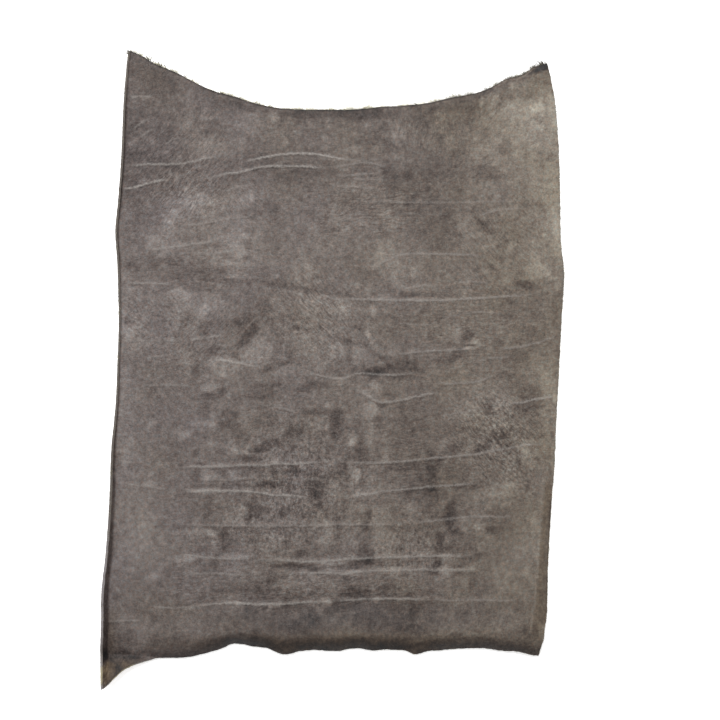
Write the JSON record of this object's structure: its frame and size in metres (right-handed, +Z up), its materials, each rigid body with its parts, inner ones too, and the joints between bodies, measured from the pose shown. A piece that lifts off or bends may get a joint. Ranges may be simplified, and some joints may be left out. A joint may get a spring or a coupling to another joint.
{
  "type": "leather hide",
  "caption": "Thick piece of distressed grey-brown leather lying grain side up, with a turned-up side, a curled corner and a rippled lower edge.",
  "frame": {"origin": "on the floor under the middle of the hide's box", "axes": "+X across the hide to the right, +Y along it towards the edge cut in a hollow curve, +Z up out of the grain"},
  "size_m": [0.6842, 0.94, 0.0458],
  "materials": {
    "grain": "distressed grey-brown grain with pale growth marks and dark stains, low satin sheen, raw fibrous cut edge"
  },
  "bodies": {
    "root": {"hide": "grain"}
  },
  "joints": []
}
